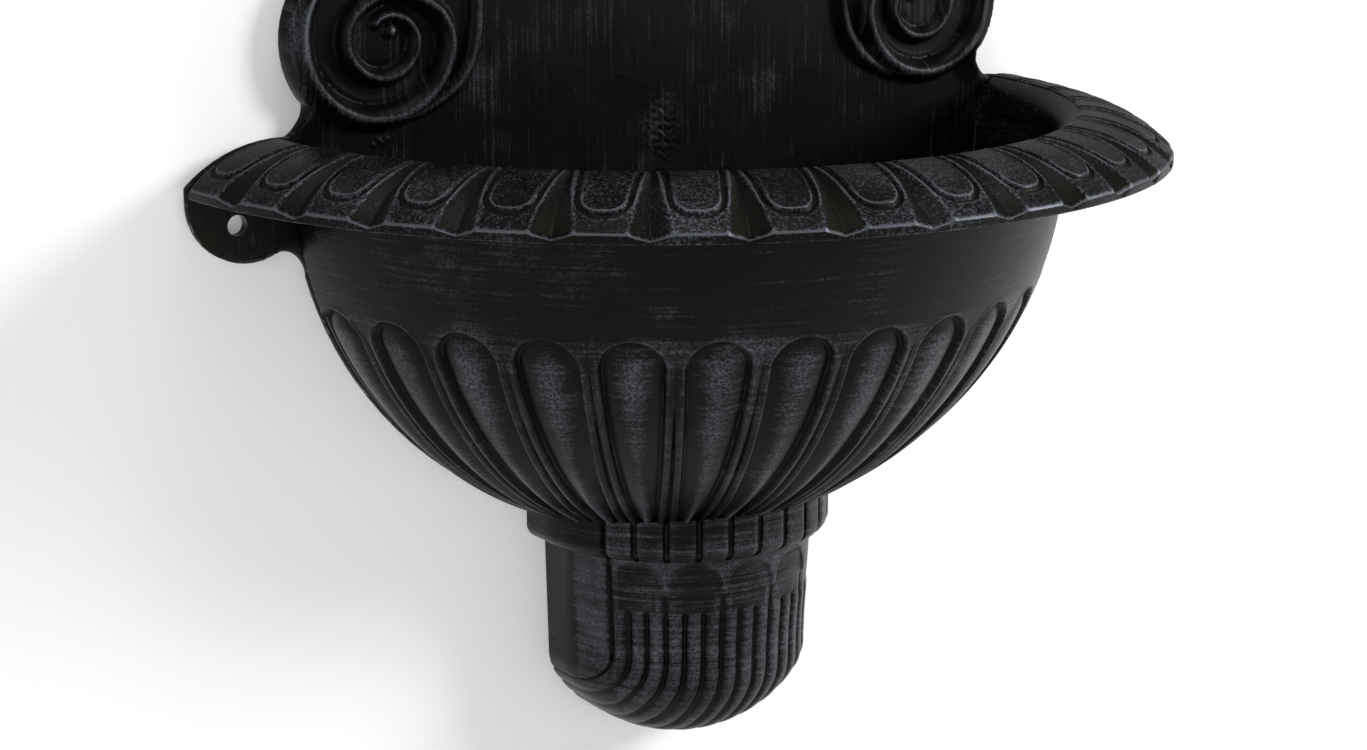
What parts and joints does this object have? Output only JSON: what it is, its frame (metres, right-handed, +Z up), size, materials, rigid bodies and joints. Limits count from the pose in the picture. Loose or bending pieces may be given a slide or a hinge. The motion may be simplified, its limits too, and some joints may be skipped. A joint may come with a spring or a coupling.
{
  "type": "garden wall fountain",
  "caption": "Half-round cast-metal wall fountain: back panel with volutes, leaf-rimmed fluted basin, slotted collar, reeded pendant, bib tap and lift-out drain plug.",
  "frame": {"origin": "on the wall plane, on the middle line of the basin, level with the inner crest of the rim", "axes": "+X to the right along the wall as seen from the room, +Y into the wall, +Z up; the basin stands out towards -Y"},
  "size_m": [0.4398, 0.24, 0.6765],
  "materials": {
    "cast_metal": "near-black patina, dry-brushed silver on the raised parts, satin",
    "rubber": "matt black",
    "stainless": "brushed",
    "aged_brass": "dark aged brass, rubbed bright on the edges",
    "fibre": "red-brown pressed fibre, matt",
    "plastic": "black nylon, matt"
  },
  "bodies": {
    "fountain": {"back_panel": "cast_metal", "basin": "cast_metal", "collar_ring": "cast_metal", "pendant": "cast_metal", "basin_seal": "rubber", "flange_washers": "rubber", "pendant_screw_seals": "rubber", "drain_gasket": "rubber", "drain_lower_washer": "rubber", "nozzle_seal": "rubber", "flange_screws": "stainless", "flange_nuts": "stainless", "rim_screws": "stainless", "pendant_screws": "stainless", "pendant_washers": "stainless", "pendant_nuts": "stainless", "drain_strainer": "stainless", "drain_flange": "aged_brass", "drain_locknut": "aged_brass", "drain_elbow": "aged_brass", "tap_body": "aged_brass", "tap_rosette": "aged_brass", "tap_locknut": "aged_brass", "spout_nozzle": "aged_brass", "headwork": "aged_brass", "gland_nut": "aged_brass", "headwork_seal": "fibre", "gland_packing": "fibre", "tap_bush": "plastic"},
    "valve_lift": {"valve_carrier": "aged_brass", "valve_washer": "rubber", "washer_nut": "aged_brass"},
    "tap_handle": {"spindle": "aged_brass", "cross_handle": "aged_brass", "handle_screw": "aged_brass"},
    "stopper": {"drain_plug": "rubber", "plug_knob": "aged_brass"}
  },
  "joints": [
    {"name": "valve_slide", "type": "slide", "parent": "fountain", "child": "valve_lift", "axis": [0, 0, 1], "range_m": [0, 0.004]},
    {"name": "handle_turn", "type": "hinge", "parent": "valve_lift", "child": "tap_handle", "pos_m": [0, -0.062, 0.245], "axis": [0, 0, 1], "range_deg": [0, 720]},
    {"name": "plug_lift", "type": "slide", "parent": "fountain", "child": "stopper", "axis": [0, 0, 1], "range_m": [0, 0.2]}
  ],
  "couplings": [
    {"joint": "valve_slide", "follows": "handle_turn", "m_per_rad": 0.000318}
  ]
}
